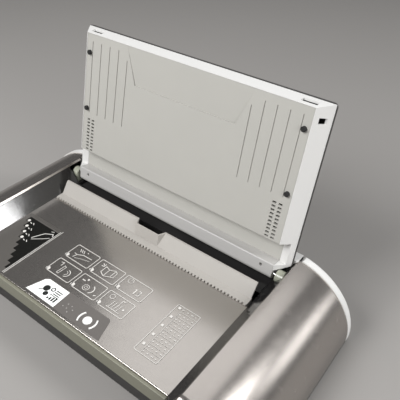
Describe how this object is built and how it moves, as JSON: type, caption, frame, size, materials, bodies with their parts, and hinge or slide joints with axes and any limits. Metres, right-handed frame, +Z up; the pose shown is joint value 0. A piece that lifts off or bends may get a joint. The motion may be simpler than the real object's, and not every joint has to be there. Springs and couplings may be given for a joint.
{
  "type": "thermal binding machine",
  "caption": "Desktop thermal binding machine with rounded side wings, an open hinged lid, a sliding document guide over a heated slot, and a small control strip.",
  "frame": {"origin": "middle of the machine as it stands with the lid open, on the table", "axes": "+X along the width to the user's right, +Y to the back, +Z up"},
  "size_m": [0.534, 0.2726, 0.2938],
  "materials": {
    "tray_black": "fine moulded texture",
    "fascia_olive": "satin",
    "deck_taupe": "satin metallic paint",
    "gauge_black": "gloss",
    "wing_taupe": "satin metallic paint",
    "trim_black": "high gloss",
    "cover_white": "satin",
    "foot_rubber": "matt",
    "screw_steel": "blackened",
    "knuckle_grey": "satin",
    "surround_black": "matt",
    "heater_aluminium": "rolled",
    "element_mica": "matt",
    "insulator_board": "matt",
    "strap_steel": "zinc plated",
    "thermostat_black": "matt",
    "guide_grey": "satin",
    "carriage_black": "matt",
    "rail_steel": "ground",
    "panel_grey": "satin",
    "frame_white": "satin",
    "shell_charcoal": "satin",
    "beam_grey": "satin",
    "bumper_rubber": "matt",
    "bezel_taupe": "satin",
    "window_glass": "clear, printed edge",
    "display_lcd": "backlit",
    "key_white": "satin",
    "board_green": "solder mask",
    "lamp_clear": "clear",
    "socket_black": "matt",
    "rocker_black": "gloss"
  },
  "bodies": {
    "base": {"bottom_tray": "tray_black", "front_fascia": "fascia_olive", "deck_panel": "deck_taupe", "gauge_plate": "gauge_black", "right_wing_cover": "wing_taupe", "left_wing_cover": "wing_taupe", "right_side_trim": "trim_black", "left_side_trim": "trim_black", "right_wing_end_cap": "cover_white", "left_wing_end_cap": "cover_white", "rear_cover": "cover_white", "rubber_feet": "foot_rubber", "base_screws": "screw_steel", "right_hinge_bracket": "knuckle_grey", "left_hinge_bracket": "knuckle_grey", "heater_surround": "surround_black", "right_slot_end": "surround_black", "left_slot_end": "surround_black", "heater_plate": "heater_aluminium", "heater_element": "element_mica", "heater_insulator": "insulator_board", "clamp_straps": "strap_steel", "thermostat": "thermostat_black", "guide_rails": "rail_steel", "strip_bezel": "bezel_taupe", "display_window": "window_glass", "display_module": "display_lcd", "control_board": "board_green", "lamp_guides": "lamp_clear", "power_board": "board_green", "power_inlet": "socket_black", "switch_housing": "socket_black"},
    "lid": {"lid_inner_panel": "panel_grey", "lid_frame": "frame_white", "lid_shell": "shell_charcoal", "hinge_beam": "beam_grey", "lid_bumpers": "bumper_rubber", "lid_screws": "screw_steel", "hinge_pins": "rail_steel"},
    "guide": {"document_guide": "guide_grey", "guide_carriages": "carriage_black"},
    "start_button": {"start_button": "key_white"},
    "left_key": {"left_arc_key": "key_white"},
    "right_key": {"right_arc_key": "key_white"},
    "power_rocker": {"power_rocker": "rocker_black"}
  },
  "joints": [
    {"name": "lid_hinge", "type": "hinge", "parent": "base", "child": "lid", "pos_m": [0, 0.0746, 0.0838], "axis": [1, 0, 0], "range_deg": [0, 102.6]},
    {"name": "guide_slide", "type": "slide", "parent": "base", "child": "guide", "axis": [0, 1, 0], "range_m": [0, 0.014]},
    {"name": "start_button_press", "type": "slide", "parent": "base", "child": "start_button", "axis": [0, 0, -1], "range_m": [0, 0.001], "stiffness_N_per_m": 800},
    {"name": "left_key_press", "type": "slide", "parent": "base", "child": "left_key", "axis": [0, 0, -1], "range_m": [0, 0.0008], "stiffness_N_per_m": 800},
    {"name": "right_key_press", "type": "slide", "parent": "base", "child": "right_key", "axis": [0, 0, -1], "range_m": [0, 0.0008], "stiffness_N_per_m": 800},
    {"name": "power_rocker_tilt", "type": "hinge", "parent": "base", "child": "power_rocker", "pos_m": [-0.095, 0.1055, 0.03], "axis": [-1, 0, 0], "range_deg": [0, 24]}
  ]
}
